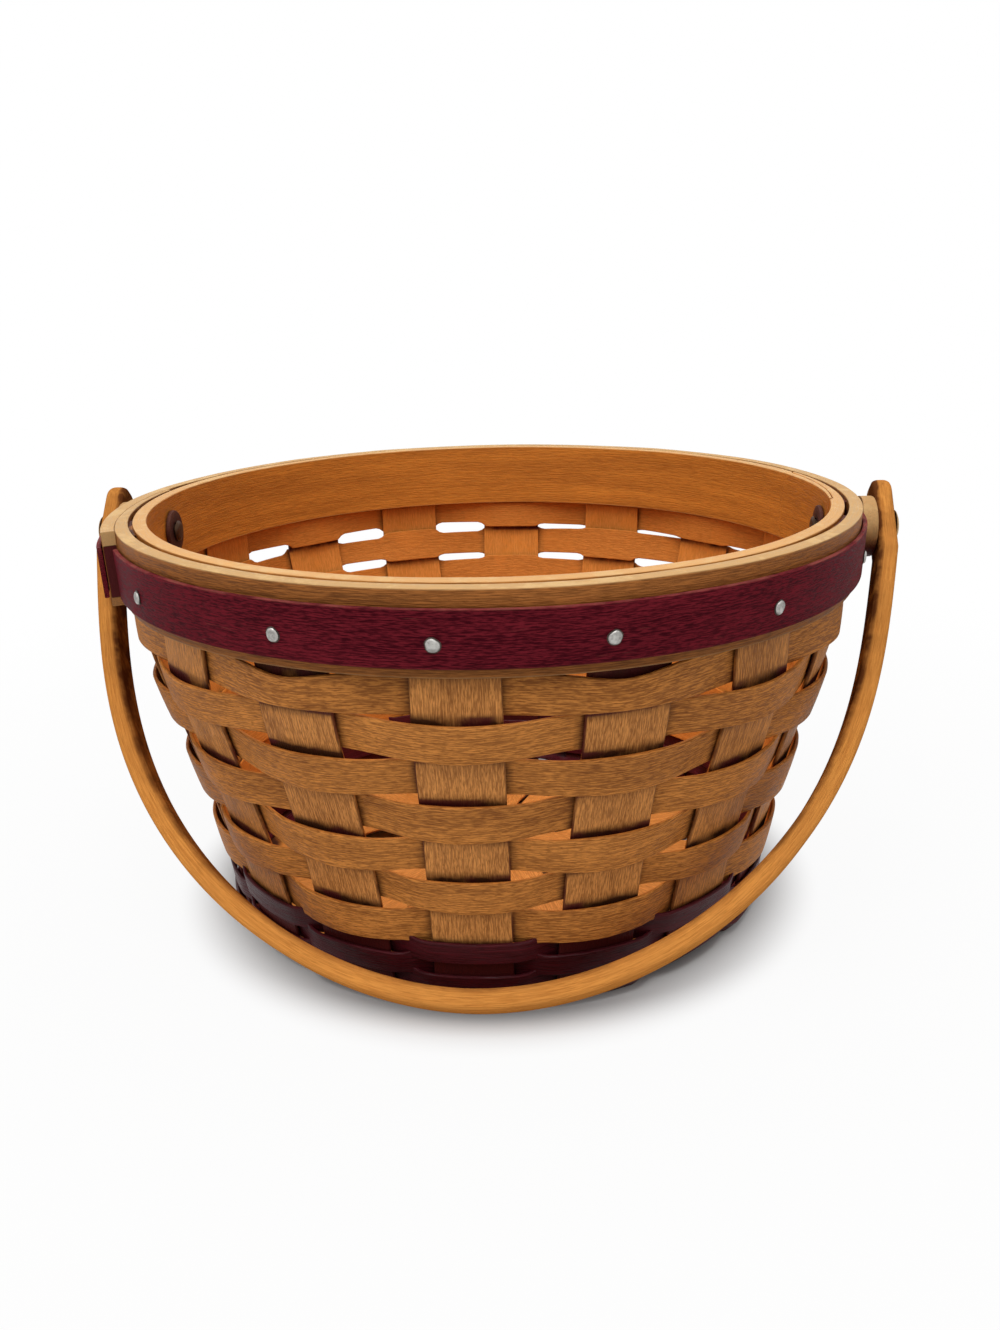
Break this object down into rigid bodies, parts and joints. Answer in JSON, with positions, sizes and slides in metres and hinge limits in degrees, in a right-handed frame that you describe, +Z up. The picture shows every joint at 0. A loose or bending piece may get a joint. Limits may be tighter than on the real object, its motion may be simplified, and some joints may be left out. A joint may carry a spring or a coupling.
{
  "type": "handled wood basket",
  "caption": "Round woven wood splint basket with a tacked rim band, a dyed trim strip and a bentwood swing handle riveted at the sides.",
  "frame": {"origin": "on the floor, under the middle of the basket's round rim", "axes": "+Z up, +X along the handle's pivot line to the right, -Y to the front, where the grip lies"},
  "size_m": [0.229, 0.2076, 0.1181],
  "materials": {
    "splint_wood": "satin stain",
    "band_wood": "satin stain",
    "burgundy_wood": "dyed, satin",
    "tack_steel": "dull",
    "rivet_brass": "aged",
    "dark_wood": "dyed, satin"
  },
  "bodies": {
    "basket": {"upright_splint_1": "splint_wood", "upright_splint_2": "splint_wood", "upright_splint_3": "splint_wood", "upright_splint_4": "splint_wood", "upright_splint_5": "splint_wood", "upright_splint_6": "splint_wood", "upright_splint_7": "splint_wood", "upright_splint_8": "splint_wood", "weaver_row_1": "splint_wood", "weaver_row_2": "splint_wood", "weaver_row_3": "splint_wood", "weaver_row_4": "splint_wood", "weaver_row_5": "splint_wood", "weaver_row_6": "splint_wood", "weaver_row_7": "splint_wood", "base_weaver_row_1": "burgundy_wood", "base_weaver_row_2": "burgundy_wood", "base_weaver_row_3": "burgundy_wood", "base_weaver_row_4": "burgundy_wood", "base_weaver_row_5": "burgundy_wood", "tack_1": "tack_steel", "tack_2": "tack_steel", "tack_3": "tack_steel", "tack_4": "tack_steel", "tack_5": "tack_steel", "tack_6": "tack_steel", "tack_7": "tack_steel", "tack_8": "tack_steel", "tack_9": "tack_steel", "tack_10": "tack_steel", "tack_11": "tack_steel", "inner_band": "band_wood", "outer_band": "band_wood", "trim_strip": "burgundy_wood", "left_spacer": "band_wood", "right_spacer": "band_wood", "left_rivet": "rivet_brass", "right_rivet": "rivet_brass", "left_washer": "dark_wood", "right_washer": "dark_wood"},
    "handle": {"handle": "band_wood"}
  },
  "joints": [
    {"name": "handle_swing", "type": "hinge", "parent": "basket", "child": "handle", "pos_m": [0, 0, 0.1062], "axis": [-1, 0, 0], "range_deg": [0, 277.5]}
  ]
}
